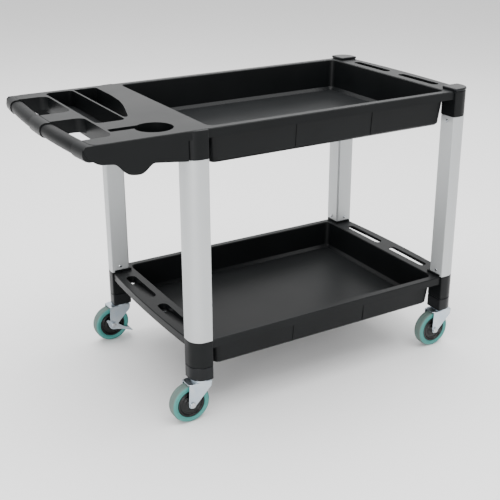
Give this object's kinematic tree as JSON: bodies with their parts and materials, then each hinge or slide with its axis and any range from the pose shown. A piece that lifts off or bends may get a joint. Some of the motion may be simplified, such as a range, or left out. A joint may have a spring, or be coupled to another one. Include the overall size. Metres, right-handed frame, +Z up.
{
  "type": "rolling utility cart",
  "caption": "Utility cart with deep black moulded trays on aluminium legs, a push handle with tool pockets and a cup well, and swivel casters with soft tyres.",
  "frame": {"origin": "on the floor, under the middle of the whole cart's bounding box", "axes": "+Z up, X along the cart with the push handle at -X, Y across it"},
  "size_m": [1.1146, 0.5734, 0.7675],
  "materials": {
    "tray_plastic": "fine moulded texture, satin",
    "grip_rubber": "soft matt grip",
    "leg_aluminium": "satin anodised",
    "foot_plastic": "moulded, satin",
    "zinc_steel": "bright zinc plate",
    "bolt_steel": "bright zinc plate",
    "hub_plastic": "moulded",
    "tyre_rubber": "soft grey-green tyre rubber"
  },
  "bodies": {
    "cart": {"caster_mount_far_left": "zinc_steel", "caster_mount_far_right": "zinc_steel", "caster_mount_near_left": "zinc_steel", "caster_mount_near_right": "zinc_steel", "foot_far_left": "foot_plastic", "foot_far_right": "foot_plastic", "foot_near_left": "foot_plastic", "foot_near_right": "foot_plastic", "grip_far": "grip_rubber", "grip_near": "grip_rubber", "leg_far_left": "leg_aluminium", "leg_far_right": "leg_aluminium", "leg_near_left": "leg_aluminium", "leg_near_right": "leg_aluminium", "lower_tray": "tray_plastic", "post_cap_far_right": "foot_plastic", "post_cap_near_right": "foot_plastic", "screw_lower_far_left_end": "bolt_steel", "screw_lower_far_left_side": "bolt_steel", "screw_lower_far_right_end": "bolt_steel", "screw_lower_far_right_side": "bolt_steel", "screw_lower_near_left_end": "bolt_steel", "screw_lower_near_left_side": "bolt_steel", "screw_lower_near_right_end": "bolt_steel", "screw_lower_near_right_side": "bolt_steel", "screw_upper_far_left_end": "bolt_steel", "screw_upper_far_left_side": "bolt_steel", "screw_upper_far_right_end": "bolt_steel", "screw_upper_far_right_side": "bolt_steel", "screw_upper_near_left_end": "bolt_steel", "screw_upper_near_left_side": "bolt_steel", "screw_upper_near_right_end": "bolt_steel", "screw_upper_near_right_side": "bolt_steel", "top_tray": "tray_plastic"},
    "caster_near_left": {"fork_near_left": "zinc_steel", "axle_near_left": "bolt_steel"},
    "wheel_near_left": {"hub_near_left": "hub_plastic", "tyre_near_left": "tyre_rubber"},
    "caster_near_right": {"fork_near_right": "zinc_steel", "axle_near_right": "bolt_steel"},
    "wheel_near_right": {"hub_near_right": "hub_plastic", "tyre_near_right": "tyre_rubber"},
    "caster_far_left": {"fork_far_left": "zinc_steel", "axle_far_left": "bolt_steel"},
    "wheel_far_left": {"hub_far_left": "hub_plastic", "tyre_far_left": "tyre_rubber"},
    "brake_far_left": {"brake_far_left": "zinc_steel"},
    "caster_far_right": {"fork_far_right": "zinc_steel", "axle_far_right": "bolt_steel"},
    "wheel_far_right": {"hub_far_right": "hub_plastic", "tyre_far_right": "tyre_rubber"},
    "brake_far_right": {"brake_far_right": "zinc_steel"}
  },
  "joints": [
    {"name": "swivel_near_left", "type": "hinge", "parent": "cart", "child": "caster_near_left", "pos_m": [-0.26825, -0.2582, 0.1063], "axis": [0, 0, 1], "continuous": true},
    {"name": "roll_near_left", "type": "hinge", "parent": "caster_near_left", "child": "wheel_near_left", "pos_m": [-0.29925, -0.2582, 0.052], "axis": [0, 1, 0], "continuous": true},
    {"name": "swivel_near_right", "type": "hinge", "parent": "cart", "child": "caster_near_right", "pos_m": [0.52675, -0.2582, 0.1063], "axis": [0, 0, 1], "continuous": true},
    {"name": "roll_near_right", "type": "hinge", "parent": "caster_near_right", "child": "wheel_near_right", "pos_m": [0.49575, -0.2582, 0.052], "axis": [0, 1, 0], "continuous": true},
    {"name": "swivel_far_left", "type": "hinge", "parent": "cart", "child": "caster_far_left", "pos_m": [-0.26825, 0.2568, 0.1063], "axis": [0, 0, 1], "continuous": true},
    {"name": "roll_far_left", "type": "hinge", "parent": "caster_far_left", "child": "wheel_far_left", "pos_m": [-0.29925, 0.2568, 0.052], "axis": [0, 1, 0], "continuous": true},
    {"name": "pedal_far_left", "type": "hinge", "parent": "caster_far_left", "child": "brake_far_left", "pos_m": [-0.29925, 0.2568, 0.052], "axis": [0, 1, 0], "range_deg": [0, 12]},
    {"name": "swivel_far_right", "type": "hinge", "parent": "cart", "child": "caster_far_right", "pos_m": [0.52675, 0.2568, 0.1063], "axis": [0, 0, 1], "continuous": true},
    {"name": "roll_far_right", "type": "hinge", "parent": "caster_far_right", "child": "wheel_far_right", "pos_m": [0.49575, 0.2568, 0.052], "axis": [0, 1, 0], "continuous": true},
    {"name": "pedal_far_right", "type": "hinge", "parent": "caster_far_right", "child": "brake_far_right", "pos_m": [0.49575, 0.2568, 0.052], "axis": [0, 1, 0], "range_deg": [0, 12]}
  ]
}
